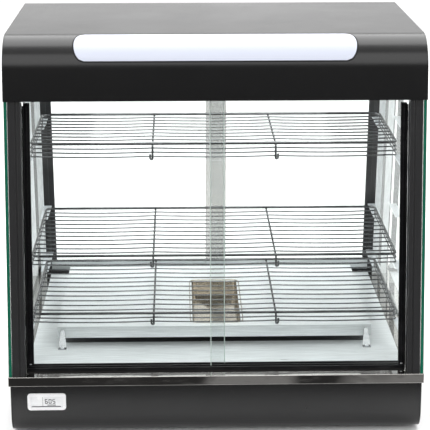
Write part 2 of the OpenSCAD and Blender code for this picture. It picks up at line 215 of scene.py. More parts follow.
def brushed(name, colour, rough, stretch, metal=1.0):
    """Satin steel with fine drawn lines along one axis and faint smears."""
    f = Finish(name)
    lines = f.noise(420, 4, stretch)
    smear = f.noise(14, 5)
    dark = tuple(0.82 * c for c in colour)
    uneven = f.spread(smear, 0.3, 0.7, -0.05, 0.07)
    return f.done(f.principled(
        Base_Color=f.blend(f.spread(lines, 0.35, 0.65), rgb(*dark), rgb(*colour)),
        Metallic=metal,
        Roughness=rough + uneven + f.spread(lines, 0.3, 0.7, -0.04, 0.04),
        Normal=f.bump(lines, 0.00004, 0.3),
    ))


def polished(name, colour, rough):
    """Polished steel with soft waviness, faint wipe marks and small scratches."""
    f = Finish(name)
    waves = f.noise(11, 2)
    wipe = f.spread(f.noise(30, 5, (1, 4, 4)), 0.5, 0.72)
    return f.done(f.principled(
        Base_Color=f.blend(wipe, rgb(*colour), rgb(*(0.9 * c for c in colour))),
        Metallic=1.0,
        Roughness=rough + wipe * 0.08,
        Normal=f.bump(waves, 0.0006, 0.12),
    ))


def plated_wire(name, shade):
    """Plated wire, its base colour set dark by shade as painted shade for the dim room the plating
    mirrors, with thinner plating and grime in random patches.
    """
    f = Finish(name)
    grime = f.spread(f.noise(45, 5), 0.48, 0.75)
    return f.done(f.principled(
        Base_Color=f.blend(grime, rgb(shade, shade * 1.02, shade * 1.04), rgb(*[shade * 0.55] * 3)),
        Metallic=1.0,
        Roughness=0.16 + grime * 0.14,
        Normal=f.bump(f.noise(900, 2), 0.00004, 0.4),
    ))


def plain_plastic(name, colour, rough, grain=700, depth=0.00004, wear=0.06, gloss=0.5):
    """Moulded plastic with a fine grain and slight handling marks."""
    f = Finish(name)
    marks = f.noise(35, 5)
    light = tuple(min(1.0, c * 1.25 + 0.01) for c in colour)
    return f.done(f.principled(
        Base_Color=f.blend(f.spread(marks, 0.5, 0.75), rgb(*colour), rgb(*light)),
        Roughness=rough + f.spread(marks, 0.3, 0.7, -wear, wear),
        Specular_IOR_Level=gloss,
        Normal=f.bump(f.noise(grain, 2), depth, 0.4),
    ))


def pane(name, axis, lap=(0.0, 0.0)):
    """Clear float glass: seen through along one axis, with green ground edges,
    and smoky where it laps over its neighbour, between two places across it.

    A ray that is leaving the glass meets nothing, as a thin pane bends no light.
    """
    f = Finish(name)
    normal = f.node("ShaderNodeNewGeometry", out="Normal")
    entering = 1 - f.node("ShaderNodeNewGeometry", out="Backfacing")
    across = abs(f.node("ShaderNodeSeparateXYZ", {}, {0: normal}, out=axis))
    haze = f.spread(f.noise(8, 5), 0.45, 0.75, 0.0, 0.03)
    place = f.node("ShaderNodeSeparateXYZ", {}, {0: f.place()}, out=0)
    lapped = (place > lap[0]) * (place < lap[1])
    tint = f.blend(lapped, rgb(0.975, 0.988, 0.984), rgb(0.82, 0.82, 0.815))
    clear = f.node("ShaderNodeBsdfTransparent", {}, {"Color": tint})
    gloss = f.principled(Base_Color=rgb(1, 1, 1), Metallic=1.0, Roughness=haze)
    first = f.node("ShaderNodeFresnel", {}, {"IOR": 1.5})
    shine = first * (2 - first) * entering
    face = f.node("ShaderNodeMixShader", {}, {0: shine, 1: clear, 2: gloss})
    ground = f.principled(
        Base_Color=f.blend(f.noise(120, 3), rgb(0.004, 0.08, 0.045), rgb(0.012, 0.17, 0.10)),
        Roughness=0.25,
    )
    edge = (across < 0.8) * entering
    return f.done(f.node("ShaderNodeMixShader", {}, {0: edge, 1: face, 2: ground}))


def glowing(name, colour, glow, rough):
    """Translucent white acrylic, faintly lit from behind, with a faint cloudy unevenness."""
    f = Finish(name)
    cloud = f.spread(f.noise(6, 3), 0.3, 0.7, 0.92, 1.0)
    tint = f.blend(cloud, rgb(*(0.94 * c for c in colour)), rgb(*colour))
    return f.done(f.principled(
        Base_Color=tint, Emission_Color=tint, Emission_Strength=glow, Roughness=rough,
        Normal=f.bump(f.noise(500, 2), 0.00003, 0.3),
    ))


def heater_sheath():
    """Steel sheath blued and browned by heat."""
    f = Finish("heater_sheath")
    stain = f.noise(28, 4)
    colour = f.node("ShaderNodeValToRGB", {"stops": [
        (0.3, rgb(0.10, 0.11, 0.16)), (0.5, rgb(0.24, 0.19, 0.14)), (0.7, rgb(0.42, 0.38, 0.33)),
    ]}, {0: stain})
    return f.done(f.principled(Base_Color=colour, Metallic=0.9, Roughness=0.32 + stain * 0.2))


def stile_and_channel():
    """Black stile whose foot is a brushed steel channel along the door."""
    f = Finish("rear_stile")
    height = f.node("ShaderNodeSeparateXYZ", {}, {0: f.place()}, out=2)
    lines = f.noise(420, 4, (0.05, 1, 1))
    steel = f.blend(f.spread(lines, 0.35, 0.65), rgb(0.52, 0.54, 0.55), rgb(0.66, 0.68, 0.69))
    channel = f.principled(Base_Color=steel, Metallic=0.4, Roughness=0.3 + lines * 0.12)
    stile = f.principled(Base_Color=rgb(0.006, 0.006, 0.007), Roughness=0.32 + lines * 0.06)
    return f.done(f.node("ShaderNodeMixShader", {}, {0: height < CHANNEL_TOP, 1: stile, 2: channel}))


CHANNEL_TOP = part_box("rear_stile_left")[0].z + 18.2 * MM
COAT = powder_coat("black_coat", 0.006, 0.24)
POST_COAT = powder_coat("post_coat", 0.024, 0.30)
TRIM = polished("polished_trim", (0.50, 0.485, 0.465), 0.025)
WELL = brushed("well_steel", (0.86, 0.89, 0.90), 0.34, (0.05, 1, 1), metal=0.25)
PILASTER_STEEL = brushed("pilaster_steel", (0.84, 0.86, 0.87), 0.45, (1, 1, 0.06), metal=0.12)
FOOT_STEEL = polished("foot_steel", (0.42, 0.43, 0.44), 0.10)
SHEET_STEEL = brushed("sheet_steel", (0.84, 0.87, 0.90), 0.34, (1, 1, 0.06), metal=0.45)
PAN_STEEL = brushed("pan_steel", (0.66, 0.60, 0.52), 0.16, (1, 0.06, 1))
# Painted shade: both wires get a dark base colour for the dim room they mirror, and the rim wire is a
# still darker copy
WIRE = plated_wire("plated_wire", 0.19)
SHADED_RIM_WIRE = plated_wire("rim_wire_painted_shade", 0.12)
SIDE_PANE = pane("side_pane", 0)
DOOR_PANE = pane("door_pane", 1)
REAR_PANE = pane("rear_pane", 1, (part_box("rear_glass_right")[0].x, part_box("rear_glass_left")[1].x))
BLACK_PLASTIC = plain_plastic("black_plastic", (0.005, 0.005, 0.006), 0.36, gloss=0.2)
WHITE_PLASTIC = plain_plastic("white_plastic", (0.87, 0.87, 0.88), 0.30)
ACRYLIC = glowing("sign_acrylic", (0.58, 0.61, 0.71), 0.16, 0.3)
TUBE_GLASS = glowing("frosted_tube", (0.9, 0.9, 0.88), 0.2, 0.4)
SHEATH = heater_sheath()
SCALE_PLATE = plain_plastic("scale_plate", (0.84, 0.85, 0.86), 0.24)
GROUND_EDGE = plain_plastic("ground_edge", (0.55, 0.64, 0.60), 0.2)
# Dark brushed steel, used only for the painted shade under the baffle
PAINTED_SHADE_STEEL = brushed("painted_shade_steel", (0.05, 0.052, 0.055), 0.45, (0.05, 1, 1), metal=0.6)
REAR_STILE = stile_and_channel()
INK = plain_plastic("printed_ink", (0.02, 0.02, 0.025), 0.5)
RED_ROCKER = plain_plastic("red_rocker", (0.38, 0.012, 0.01), 0.2)
AMBER_LENS = plain_plastic("amber_lens", (0.75, 0.24, 0.02), 0.16)
BUFF_PLASTIC = plain_plastic("buff_plastic", (0.42, 0.38, 0.31), 0.45)
RUBBER = plain_plastic("cord_rubber", (0.014, 0.014, 0.015), 0.52, 900, 0.00006)
SEAL = plain_plastic("door_seal", (0.004, 0.004, 0.004), 0.7, gloss=0.1)
FOOT_RUBBER = plain_plastic("foot_rubber", (0.02, 0.02, 0.02), 0.7)


# ---------------------------------------------------------------- piece tools

def keep(obj, body, material, stands_for=()):
    """Links a finished piece to its body, its finish and the nodes that it stands for."""
    obj.data.materials.clear()
    obj.data.materials.append(material)
    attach(obj, body)
    if stands_for:
        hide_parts(*stands_for)
    return obj


def mesh_piece(name, bm, body, material, stands_for=(), smooth=True):
    bmesh.ops.remove_doubles(bm, verts=bm.verts, dist=1e-6)
    bmesh.ops.recalc_face_normals(bm, faces=bm.faces)
    mesh = bpy.data.meshes.new(name)
    bm.to_mesh(mesh)
    bm.free()
    if smooth:
        mesh.shade_smooth()
    obj = bpy.data.objects.new(name, mesh)
    bpy.context.scene.collection.objects.link(obj)
    keep(obj, body, material, stands_for)
    if smooth:
        sharpen(obj)
    return obj


def sharpen(obj, angle=35):
    """Marks edges sharper than an angle, so that flats stay flat."""
    bm = bmesh.new()
    bm.from_mesh(obj.data)
    for edge in bm.edges:
        edge.smooth = not (edge.is_manifold and edge.calc_face_angle(0) > math.radians(angle))
    bm.to_mesh(obj.data)
    bm.free()


def wire_piece(name, paths, radius, body, material, stands_for=(), sides=2):
    """Round wire along each path; a path is (points, closed)."""
    curve = bpy.data.curves.new(name, "CURVE")
    curve.dimensions = "3D"
    curve.bevel_depth = radius
    curve.bevel_resolution = sides
    curve.use_fill_caps = True
    for points, closed in paths:
        spline = curve.splines.new("POLY")
        spline.points.add(len(points) - 1)
        for knot, point in zip(spline.points, points):
            knot.co = (*point, 1)
        spline.use_cyclic_u = closed
        spline.use_smooth = True
    obj = bpy.data.objects.new(name, curve)
    bpy.context.scene.collection.objects.link(obj)
    return keep(obj, body, material, stands_for)


def rounded(points, radius, steps=5, closed=False):
    """The same path with its corners turned into arcs."""
    points = [Vector(p) for p in points]
    made = []
    last = len(points) - 1
    for i, here in enumerate(points):
        if not closed and i in (0, last):
            made.append(here)
            continue
        before = points[i - 1] - here
        after = points[(i + 1) % len(points)] - here
        reach = min(radius, before.length / 2, after.length / 2)
        a = here + before.normalized() * reach
        b = here + after.normalized() * reach
        for k in range(steps + 1):
            t = k / steps
            made.append(a * (1 - t) ** 2 + here * 2 * t * (1 - t) + b * t ** 2)
    return made


def box_mesh(low, high, bevel=0.0, segments=2):
    """A block between two corners, with its edges rounded."""
    bm = bmesh.new()
    size = Vector(high) - Vector(low)
    middle = (Vector(high) + Vector(low)) / 2
    bmesh.ops.create_cube(bm, size=1, matrix=Matrix.Translation(middle) @ Matrix.Diagonal((*size, 1)))
    if bevel:
        bmesh.ops.bevel(bm, geom=bm.edges[:], offset=bevel, segments=segments,
            affect="EDGES", profile=0.5, material=-1)
    return bm


def join(*meshes):
    """Puts several meshes into one."""
    whole = bmesh.new()
    for part in meshes:
        scrap = bpy.data.meshes.new("scrap")
        part.to_mesh(scrap)
        part.free()
        whole.from_mesh(scrap)
        bpy.data.meshes.remove(scrap)
    return whole


def turned(profile, place, segments=32):
    """A shape of revolution from (radius, height) points, put in place by a matrix."""
    bm = bmesh.new()
    verts = [bm.verts.new((r, 0, h)) for r, h in profile]
    for a, b in zip(verts, verts[1:]):
        bm.edges.new((a, b))
    bmesh.ops.spin(bm, geom=bm.verts[:] + bm.edges[:], cent=(0, 0, 0), axis=(0, 0, 1),
        angle=math.tau, steps=segments, use_merge=True)
    bmesh.ops.remove_doubles(bm, verts=bm.verts, dist=1e-6)
    bmesh.ops.transform(bm, matrix=place, verts=bm.verts)
    return bm


def facing_rear(x, y, z):
    """Turns a shape's height to point out of the rear panel, from a point on it."""
    return Matrix.Translation((x, y, z)) @ Matrix.Rotation(-QUARTER, 4, "X")


# ---------------------------------------------------------------- lead

ROUTE = [
    (-230, 300, 60), (-230, 322, 60), (-229, 345, 55), (-226, 368, 43), (-220, 392, 27),
    (-211, 418, 12), (-197, 446, 4.4), (-176, 472, 3.7), (-149, 493, 3.7),
    (-118, 508, 3.7), (-84, 518, 3.7), (-48, 525, 3.7), (-11, 531, 3.7),
    (26, 538, 3.7), (63, 545, 3.7), (101, 552, 3.7), (140, 557, 3.7),
    (178, 559, 3.7), (213, 556, 3.7), (245, 545, 3.7), (267, 521, 3.7),
    (273, 490, 3.7), (261, 460, 3.7), (236, 440, 3.7), (203, 430, 3.7),
    (168, 427, 3.7), (132, 428, 3.7), (95, 431, 3.7), (58, 435, 3.7),
    (22, 437, 3.7), (-12, 436, 4.6), (-43, 432, 8.6), (-70, 426, 12.2),
    (-90, 421, 12.6),
]
CORD_D = 7 * MM
RELIEF_BASE = (-230, 264, 60)
PLUG_TURN = 194
SPAN_STEPS = 5


def smooth_route():
    """The lead's centreline in metres, curved through the route's points."""
    points = [Vector(p) * MM for p in ROUTE]
    last = len(points) - 1
    line = []
    for i in range(last):
        a, b, c, d = (points[max(0, min(last, i + k))] for k in (-1, 0, 1, 2))
        for k in range(SPAN_STEPS):
            t = k / SPAN_STEPS
            line.append(0.5 * (
                2 * b + (c - a) * t + (2 * a - 5 * b + 4 * c - d) * t ** 2
                + (3 * b - a - 3 * c + d) * t ** 3
            ))
    return line + [points[last]]


def make_lead():
    line = smooth_route()
    length = sum((b - a).length for a, b in zip(line, line[1:]))
    lead = wire_piece("power_lead", [(line, False)], CORD_D / 2, "case", RUBBER,
        ["power_cord"], sides=4)

    at = facing_rear(*(c * MM for c in RELIEF_BASE))
    profile = [(0, -6), (6.8, -6), (6.8, 0), (8.6, 0.2), (9, 0.8), (9, 3.4), (8.4, 4), (6.4, 5)]
    for k in range(7):
        r = 6.3 - 0.26 * k
        h = 7 + 3.9 * k
        profile += [(r, h), (r, h + 1.9), (r - 0.9, h + 2.2), (r - 0.95, h + 3.5)]
    profile += [(4.5, 35.4), (4.2, 36), (3.5, 36)]
    relief = mesh_piece("cord_boot", turned([(r * MM, h * MM) for r, h in profile], at), "case",
        RUBBER, ["strain_relief"])

    end = Vector(ROUTE[-1]) * MM
    along = Matrix.Translation(end) @ Matrix.Rotation(math.radians(PLUG_TURN), 4, "Z")
    lengthwise = along @ Matrix.Rotation(QUARTER, 4, "Y")
    body = [(3.4, 0), (4.5, 0.4), (4.8, 2), (4.4, 3.2), (4.9, 4.2), (5.2, 7), (4.7, 8.2), (5.3, 9.2),
        (5.7, 12.5), (6.4, 15), (9.5, 18.5), (11.9, 21), (12.3, 23.5), (11.7, 27), (11.7, 32),
        (12.4, 35.5), (12.4, 39.2), (11.8, 40), (0, 40)]
    shell = turned([(r * MM, h * MM) for r, h in body], lengthwise)
    plug = mesh_piece("plug_body", shell, "case", RUBBER, ["plug"])
    blades = [box_mesh((0.040, y - 0.0008, -0.006), (0.057, y + 0.0008, 0.0004), 0.0003)
        for y in (-0.0063, 0.0063)]
    pin = turned([(2.3 * MM, 39 * MM), (2.3 * MM, 57.4 * MM), (1.4 * MM, 59 * MM), (0, 59 * MM)],
        Matrix.Translation((0, 0, 0.006)) @ Matrix.Rotation(QUARTER, 4, "Y"), 20)
    prongs = join(*blades, pin)
    bmesh.ops.transform(prongs, matrix=along, verts=prongs.verts)
    prongs = mesh_piece("plug_prongs", prongs, "case", SHEET_STEEL)


make_lead()


# ---------------------------------------------------------------- hood

HOOD_T = 2 * MM
SIGN_FROM = 10.9
SIGN_TO = 68.8
SIGN_HALF = 220 * MM


def bend_point(angle, radius):
    """A point of the front bend; angle 0 is its top, in degrees."""
    a = math.radians(angle)
    return BEND_Y - radius * math.sin(a), BEND_Z + radius * math.cos(a)


def make_hood_cover():
    """One bent sheet from the front's lower edge over the top to the rear's."""
    steps = 22
    full = 90 - math.degrees(LEAN_ANGLE)
    front = [(face_y(HOOD_Z), HOOD_Z)]
    front += [bend_point(full * (1 - k / steps), BEND_R) for k in range(steps + 1)]
    outline = front + [(-y, z) for y, z in reversed(front)]
    half = HALF_W - HOOD_T
    bm = bmesh.new()
    verts = [bm.verts.new((-half, y, z)) for y, z in outline]
    edges = [bm.edges.new((a, b)) for a, b in zip(verts, verts[1:])]
    swept = bmesh.ops.extrude_edge_only(bm, edges=edges)
    moved = [v for v in swept["geom"] if isinstance(v, bmesh.types.BMVert)]
    bmesh.ops.translate(bm, verts=moved, vec=(2 * half, 0, 0))
    bmesh.ops.recalc_face_normals(bm, faces=bm.faces)
    top = max(bm.faces, key=lambda face: face.calc_center_median().z)
    if top.normal.z < 0:
        bmesh.ops.reverse_faces(bm, faces=bm.faces)
    bmesh.ops.solidify(bm, geom=bm.faces[:], thickness=HOOD_T)
    mesh_piece("hood_shell", bm, "case", COAT, ["hood_cover"])


def sign_strip(name, half, reach, inner, outer, corner, material, stands_for=()):
    """A panel that follows the bend, with round ends; reach is how far it runs
    past the sign's edges along the arc."""
    spread = (SIGN_TO - SIGN_FROM) / 2 + math.degrees(reach / BEND_R)
    middle = (SIGN_TO + SIGN_FROM) / 2
    rows = 18
    bm = bmesh.new()
    lines = []
    for k in range(rows + 1):
        t = 2 * k / rows - 1
        x = half - corner * (1 - math.sqrt(max(0.0, 1 - t ** 2)))
        pair = []
        for radius in (outer, inner):
            y, z = bend_point(middle - spread * t, radius)
            pair.append([bm.verts.new((sign * x, y, z)) for sign in (-1, 1)])
        lines.append(pair)
    for (out_a, in_a), (out_b, in_b) in zip(lines, lines[1:]):
        bm.faces.new((out_a[0], out_a[1], out_b[1], out_b[0]))
        bm.faces.new((in_a[1], in_a[0], in_b[0], in_b[1]))
        for side in (0, 1):
            bm.faces.new((out_a[side], out_b[side], in_b[side], in_a[side]))
    for out_row, in_row in (lines[0], lines[-1]):
        bm.faces.new((out_row[0], out_row[1], in_row[1], in_row[0]))
    mesh_piece(name, bm, "case", material, stands_for)


make_hood_cover()
sign_strip("sign_gasket", SIGN_HALF + 2.4 * MM, 2.4 * MM, BEND_R - 0.5 * MM, BEND_R + 0.25 * MM,
    18 * MM, BLACK_PLASTIC)
sign_strip("sign_panel", SIGN_HALF, 0, BEND_R - 0.5 * MM, BEND_R + 0.7 * MM, 16 * MM, ACRYLIC,
    ["sign_diffuser"])


# ---------------------------------------------------------------- shelves

SHELVES = {"shelf_top": ("top_shelf", 9, 3), "shelf_middle": ("middle_shelf", 11, 2),
    "shelf_lower": ("lower_shelf", 11, 2)}
WIRE_PITCH = 23.7 * MM
LAST_WIRE = 30 * MM
FENCE_PITCH = 7 * MM
BEARER_X = 101 * MM
RIM_R = 2.2 * MM
THIN_R = 1.2 * MM
SAG = 1.7 * MM


def sagging(half, y, z, count=24):
    """A wire across the shelf that dips a little between the bearers and the sides."""
    made = []
    for k in range(count + 1):
        x = -half + 2 * half * k / count
        if abs(x) < BEARER_X:
            share = x / BEARER_X
        else:
            share = (abs(x) - (half + BEARER_X) / 2) / ((half - BEARER_X) / 2)
        made.append(Vector((x, y, z - SAG * (1 - share ** 2))))
    return made


def make_shelf(node, body, wires, fences):
    low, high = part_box(node)
    z = high.z - RIM_R
    x = high.x - RIM_R
    front = low.y + 2.8 * MM
    rear = high.y - RIM_R
    corner = 13 * MM

    rim = rounded([(-x, front, z), (x, front, z), (x, rear, z), (-x, rear, z)], corner, closed=True)
    wire_piece(node + "_rim", [(rim, True)], RIM_R, body, SHADED_RIM_WIRE, [node], sides=3)

    thin = []
    for k in range(wires):
        y = high.y - LAST_WIRE - WIRE_PITCH * k
        thin.append((sagging(x, y, z + 0.6 * MM), False))
    for k in range(1, fences + 1):
        down = z - FENCE_PITCH * k
        side = x + 0.3 * MM
        turn = [(-side, rear, down), (-side, front + corner, down)]
        arc_left = rounded([turn[1], (-side, front, down), (-side + corner, front, down)], corner)
        arc_right = [Vector((-p.x, p.y, p.z)) for p in reversed(arc_left)]
        line = sagging(side - corner, front, down)
        fence = [Vector(turn[0])] + arc_left + line[1:-1] + arc_right
        thin.append((fence + [Vector((side, rear, down))], False))
    lowest = z - FENCE_PITCH * fences
    for s in (-1, 1):
        for y in (front + 20 * MM, rear - 6 * MM):
            thin.append(([Vector((s * x, y, lowest)), Vector((s * x, y, z))], False))
    wire_piece(node + "_wires", thin, THIN_R, body, WIRE)

    bearers = []
    foot = low.z + 1.6 * MM
    for s in (-1, 1):
        bx = s * BEARER_X
        path = [
            (bx, rear, z - 2.6 * MM), (bx, front - 1.2 * MM, z - 2.6 * MM),
            (bx, front - 1.2 * MM, foot), (bx + s * 4 * MM, front + 1.5 * MM, foot),
            (bx + s * 4 * MM, front + 1.5 * MM, foot + 8 * MM),
        ]
        bearers.append((rounded(path, 3.2 * MM), False))
    wire_piece(node + "_bearers", bearers, 1.75 * MM, body, WIRE, sides=3)


for node, (body, wires, fences) in SHELVES.items():
    make_shelf(node, body, wires, fences)


# ---------------------------------------------------------------- water pan

def make_pan():
    """Pressed tray with rolled rim and rounded corners."""
    low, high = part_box("water_pan")
    flange = 6 * MM
    bm = bmesh.new()
    size = high - low
    middle = (high + low) / 2
    place = Matrix.Translation((middle.x, middle.y, high.z)) @ Matrix.Diagonal((size.x, size.y, 1, 1))
    bmesh.ops.create_grid(bm, x_segments=1, y_segments=1, size=0.5, matrix=place)
    bmesh.ops.bevel(bm, geom=bm.verts[:], offset=12 * MM, segments=6, affect="VERTICES",
        profile=0.5, material=-1)
    face = bm.faces[:]
    bmesh.ops.inset_region(bm, faces=face, thickness=flange)
    for drop, inward in ((2 * MM, 0.8 * MM), (size.z - 8 * MM, 1.6 * MM), (3.5 * MM, 2 * MM)):
        wall = bmesh.ops.extrude_discrete_faces(bm, faces=face)
        face = wall["faces"]
        bmesh.ops.translate(bm, verts=face[0].verts, vec=(0, 0, -drop))
        bmesh.ops.inset_region(bm, faces=face, thickness=inward)
    bmesh.ops.recalc_face_normals(bm, faces=bm.faces)
    pan = mesh_piece("water_pan_tray", bm, "pan", PAN_STEEL, ["water_pan"])
    wall = pan.modifiers.new("wall", "SOLIDIFY")
    wall.thickness = 0.9 * MM
    wall.offset = -1


make_pan()


# ---------------------------------------------------------------- thermometer

def make_thermometer():
    low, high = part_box("thermometer_bezel")
    y = low.y
    middle = (low + high) / 2
    bm = box_mesh((low.x, y, low.z), (high.x, high.y, high.z))
    upright = [e for e in bm.edges if abs((e.verts[0].co - e.verts[1].co).y) > 1 * MM]
    bmesh.ops.bevel(bm, geom=upright, offset=5 * MM, segments=6,
        affect="EDGES", profile=0.5, material=-1)
    front = [f for f in bm.faces if f.normal.y < -0.9]
    rim = [e for f in front for e in f.edges]
    bmesh.ops.bevel(bm, geom=rim, offset=0.9 * MM, segments=3,
        affect="EDGES", profile=0.5, material=-1)
    front = [f for f in bm.faces if f.normal.y < -0.99 and f.calc_area() > 1e-4]
    bmesh.ops.inset_region(bm, faces=front, thickness=4.2 * MM)
    window = bmesh.ops.extrude_discrete_faces(bm, faces=front)["faces"]
    bmesh.ops.translate(bm, verts=window[0].verts, vec=(0, 1.6 * MM, 0))
    mesh_piece("thermometer_case", bm, "case", WHITE_PLASTIC, ["thermometer_bezel"])

    face_at = y + 1.5 * MM
    plate = box_mesh((middle.x - 25.6 * MM, face_at - 0.3 * MM, middle.z - 8.6 * MM),
        (middle.x + 25.6 * MM, face_at + 0.4 * MM, middle.z + 8.6 * MM), 0.2 * MM)
    mesh_piece("thermometer_plate", plate, "case", SCALE_PLATE,
        ["thermometer_display"])

    def bar(x0, z0, x1, z1):
        top = face_at - 0.3 * MM
        return box_mesh((middle.x + x0 * MM, top - 0.15 * MM, middle.z + z0 * MM),
            (middle.x + x1 * MM, top + 0.1 * MM, middle.z + z1 * MM))

    def digit(x, lit):
        """Seven-segment figure, 4 mm wide; lit names its segments."""
        places = {
            "a": (0.6, 6.6, 3.8, 7.7), "b": (3.4, 4.2, 4.5, 7.4), "c": (3.4, 0.4, 4.5, 3.6),
            "d": (0.6, 0, 3.8, 1.1), "e": (0, 0.4, 1.1, 3.6), "f": (0, 4.2, 1.1, 7.4),
            "g": (0.6, 3.3, 3.8, 4.4),
        }
        return [bar(x + a, b - 3, x + c, d - 3) for a, b, c, d in (places[s] for s in lit)]

    marks = [bar(-6.6, -8, -6.1, 8), bar(-24, -8.3, 22, -7.2), bar(1, -6, 14, -4.9)]
    marks += digit(-3, "acdefg") + digit(3, "abcdef") + digit(9, "acdfg")
    mesh_piece("thermometer_marks", join(*marks), "case", INK, smooth=False)


make_thermometer()


# ---------------------------------------------------------------- controls

def make_knob():
    """Fluted knob with a raised pointer on a round skirt, and ticks on the panel."""
    low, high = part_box("thermostat_knob")
    middle = (low + high) / 2
    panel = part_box("base_rear")[1].y
    at = facing_rear(middle.x, panel, middle.z)
    skirt = turned([(r * MM, h * MM) for r, h in [
        (0, -12), (3, -12), (3, 0.5), (17.2, 0.5), (18, 1.2), (18, 2.8), (17.4, 3.6), (14.6, 4.2),
        (14, 5), (13.4, 14), (12.8, 15.8), (11.2, 16.8), (0, 16.8)]], at, 48)
    flutes = 20
    ribs = []
    for k in range(flutes):
        spin = Matrix.Rotation(math.tau * k / flutes, 4, "Z")
        rib = box_mesh((13.0 * MM, -0.9 * MM, 5 * MM), (14.2 * MM, 0.9 * MM, 14 * MM), 0.4 * MM)
        bmesh.ops.transform(rib, matrix=at @ spin, verts=rib.verts)
        ribs.append(rib)
    mesh_piece("heat_knob", join(skirt, *ribs), "heat_knob", BLACK_PLASTIC,
        ["thermostat_knob"])
    pointer = box_mesh((-0.8 * MM, -11 * MM, 16.5 * MM), (0.8 * MM, -4 * MM, 17 * MM), 0.2 * MM)
    bmesh.ops.transform(pointer, matrix=at, verts=pointer.verts)
    mesh_piece("heat_knob_pointer", pointer, "heat_knob", WHITE_PLASTIC)
    marks = 11
    sweep = math.radians(270)
    ticks = []
    for k in range(marks):
        tick = box_mesh((-0.4 * MM, -23.5 * MM, 0.02 * MM), (0.4 * MM, -20 * MM, 0.12 * MM))
        turn = Matrix.Rotation(sweep * k / (marks - 1), 4, "Z")
        bmesh.ops.transform(tick, matrix=at @ turn, verts=tick.verts)
        ticks.append(tick)
    mesh_piece("heat_scale", join(*ticks), "case", WHITE_PLASTIC, smooth=False)


def make_screws():
    """Domed heads, dipping at the middle, on the baffle's toes and the rear panel."""
    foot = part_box("baffle_feet")
    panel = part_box("base_rear")[1].y
    toe_z = DECK_Z + 1.5 * MM
    heads = []

    def head(at, r):
        dome = turned([(r, 0), (r, 0.25 * r), (0.9 * r, 0.45 * r), (0.6 * r, 0.62 * r),
            (0.42 * r, 0.66 * r), (0, 0.4 * r)], at, 20)
        heads.append(dome)

    for x in (foot[0].x + 7 * MM, foot[1].x - 7 * MM):
        for y in (foot[0].y + 4.4 * MM, foot[1].y - 4.4 * MM):
            head(Matrix.Translation((x, y, toe_z)), 3.2 * MM)
    for x in (-300, -60, 60, 300):
        head(facing_rear(x * MM, panel, 82 * MM), 4 * MM)
    mesh_piece("screw_heads", join(*heads), "case", SHEET_STEEL, ["screws"])


make_knob()
make_screws()


# ---------------------------------------------------------------- door fittings

def leaning_block(across, depth, upright, left=False, rear=False, bevel=0.0):
    """A bar that leans with the front or rear face. across, depth behind the face
    and upright are pairs from low to high, in metres, for the right-hand side."""
    bm = box_mesh(*zip(across, depth, upright), bevel)
    for v in bm.verts:
        v.co.y += face_y(v.co.z)
        if left:
            v.co.x = -v.co.x
        if rear:
            v.co.y = -v.co.y
    return bm


def depth_of(node, rear=False):
    """How far a leaning node's outer face lies behind the case's own."""
    low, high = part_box(node)
    return (-high.y if rear else low.y) - face_y(low.z)


def make_stile_beads():
    """Raised line down the middle of each front stile."""
    for side in ("left", "right"):
        node = f"front_stile_{side}"
        low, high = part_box(node)
        middle = abs(low.x + high.x) / 2
        depth = depth_of(node)
        bead = leaning_block((middle - 0.8 * MM, middle + 0.8 * MM),
            (depth - 0.5 * MM, depth + 0.5 * MM), (low.z + 4 * MM, high.z - 3 * MM),
            left=side == "left", bevel=0.2 * MM)
        mesh_piece(f"front_bead_{side}", bead, f"front_door_{side}", BLACK_PLASTIC)


def make_seals():
    """Rubber lips on the front posts that close the gap beside the doors."""
    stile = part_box("front_stile_right")
    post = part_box("front_post_right")
    for side in ("left", "right"):
        lip = leaning_block((post[0].x - 2.5 * MM, post[0].x), (24 * MM, 27.6 * MM),
            (stile[0].z, stile[1].z - 1 * MM), left=side == "left", bevel=0.5 * MM)
        mesh_piece(f"post_seal_{side}", lip, "case", SEAL)


def make_slot_backs():
    """Painted shade: black blocks behind each slot in the pilasters, and thin black marks on the front
    flange at each slot.
    """
    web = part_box("front_pilaster_right")[0].x
    slots = 40
    pitch = 10 * MM
    height = 5 * MM
    first_slot = DECK_Z + 24 * MM
    slot_depth = (51.5 * MM, 55.5 * MM)
    flange_depth = (47.9 * MM, 48.1 * MM)
    shadows = []
    for left in (False, True):
        for rear in (False, True):
            for k in range(slots):
                z = first_slot + pitch * k
                shadows.append(leaning_block((web + 1.3 * MM, web + 1.8 * MM), slot_depth,
                    (z - 0.2 * MM, z + height + 0.2 * MM), left=left, rear=rear))
                shadows.append(leaning_block((web - 0.05 * MM, web + 1.6 * MM), flange_depth,
                    (z, z + height), left=left, rear=rear))
    mesh_piece("slot_shadows", join(*shadows), "case", BLACK_PLASTIC, smooth=False)


def make_door_edges():
    """Ground edges of the front panes, where they overlap."""
    for side in ("left", "right"):
        low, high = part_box(f"front_glass_{side}")
        depth = depth_of(f"front_glass_{side}")
        edge = -low.x if side == "right" else high.x
        line = leaning_block((-edge - 0.1 * MM, 1.1 * MM - edge),
            (depth - 0.15 * MM, depth + 0.1 * MM), (low.z + 4 * MM, high.z - 9 * MM),
            left=side == "left")
        mesh_piece(f"ground_edge_{side}", line, f"front_door_{side}", GROUND_EDGE)


def make_painted_shade_sheet():
    """Painted shade: a dark plate on the floor under the baffle, below the heaters, darkening the gap
    beneath the baffle.
    """
    low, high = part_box("baffle_plate")
    tray = box_mesh((low.x + 8 * MM, low.y + 12 * MM, DECK_Z + 0.1 * MM),
        (high.x - 8 * MM, high.y - 12 * MM, DECK_Z + 0.9 * MM), 0.2 * MM)
    mesh_piece("painted_shade_sheet", tray, "case", PAINTED_SHADE_STEEL)


